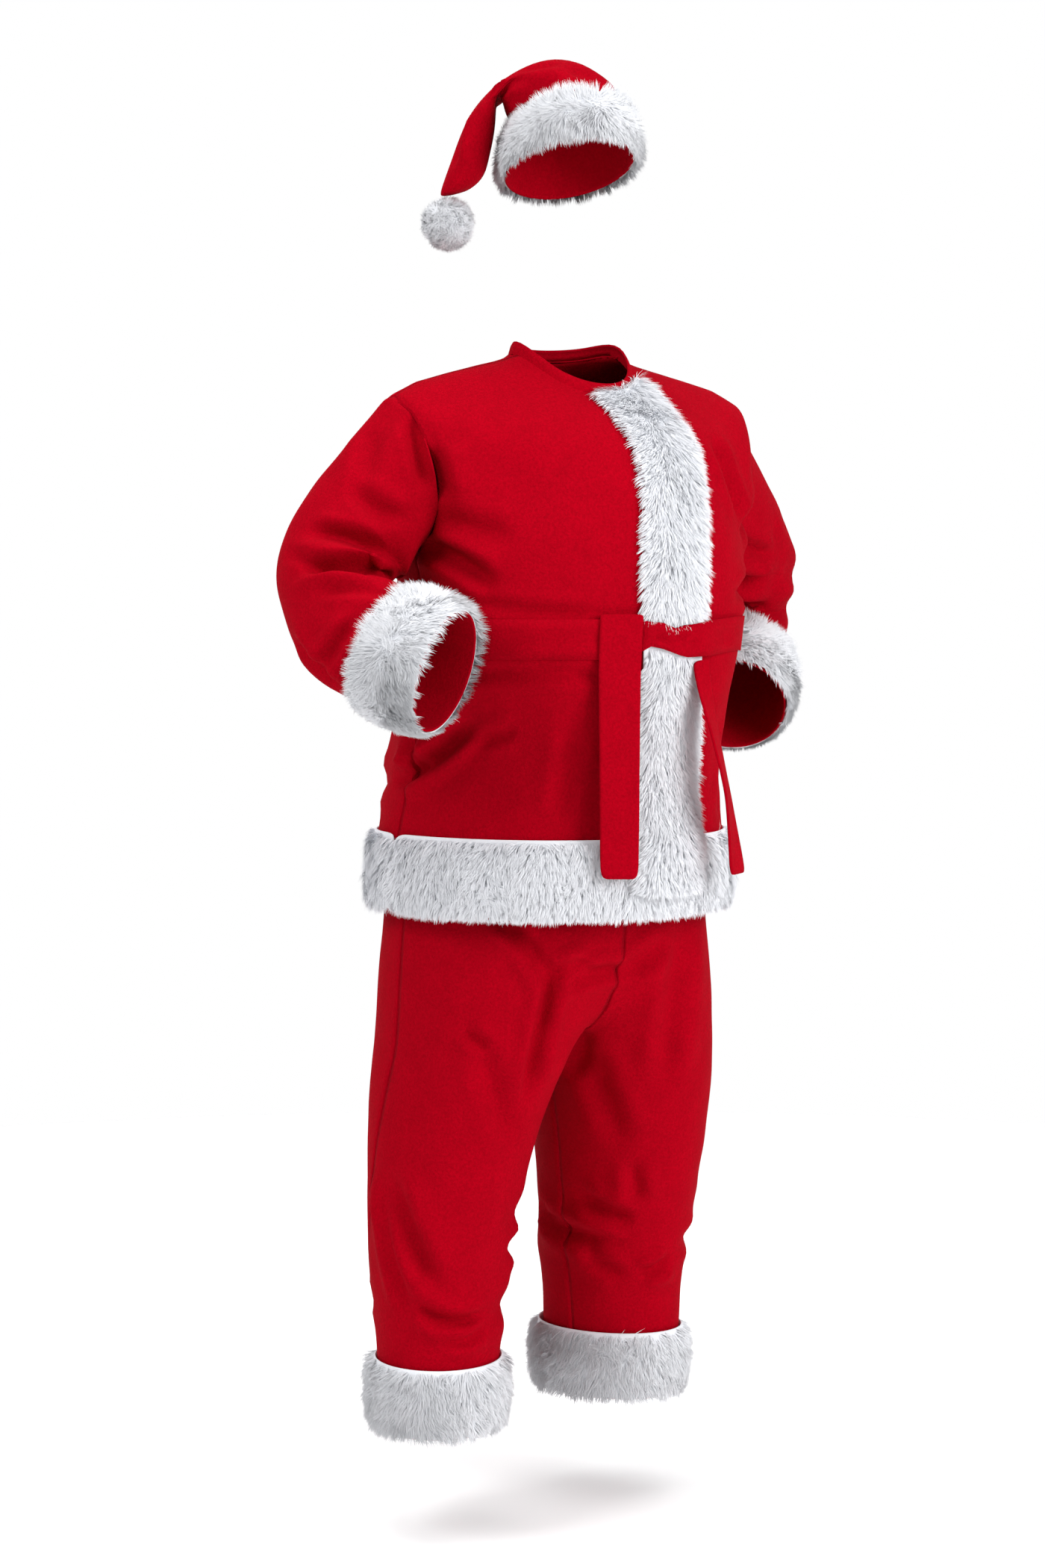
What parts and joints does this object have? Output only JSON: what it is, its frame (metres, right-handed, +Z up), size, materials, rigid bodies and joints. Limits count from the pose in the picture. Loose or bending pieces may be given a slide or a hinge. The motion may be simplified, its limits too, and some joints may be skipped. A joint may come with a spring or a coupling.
{
  "type": "santa suit",
  "caption": "Red fleece jacket, trousers and pointed hat with white faux fur trim, a tie belt and a pompom, standing in the hollow shape of the wearer.",
  "frame": {"origin": "base of the neck, in the middle of the neck opening, where the wearer's shoulders carry the suit", "axes": "+Z up, -Y the way the suit faces, +X towards the wearer's left"},
  "size_m": [0.856, 0.5073, 1.694],
  "materials": {
    "red_fleece": "brushed polyester fleece, matt",
    "white_fur": "faux fur, matt"
  },
  "bodies": {
    "root": {"jacket_front_right": "red_fleece", "jacket_front_left": "red_fleece", "jacket_back": "red_fleece", "sleeve_right": "red_fleece", "sleeve_left": "red_fleece", "belt": "red_fleece", "belt_end_flat": "red_fleece", "belt_end_turned": "red_fleece", "neck_binding": "red_fleece", "trousers_front_right": "red_fleece", "trousers_front_left": "red_fleece", "trousers_back_right": "red_fleece", "trousers_back_left": "red_fleece", "waistband": "red_fleece", "hat_cone": "red_fleece", "fur_cuff_right": "white_fur", "fur_cuff_left": "white_fur", "fur_hem_right": "white_fur", "fur_hem_back": "white_fur", "fur_hem_left": "white_fur", "fur_front_band": "white_fur", "fur_leg_right": "white_fur", "fur_leg_left": "white_fur", "fur_brim": "white_fur", "pompom": "white_fur"}
  },
  "joints": []
}
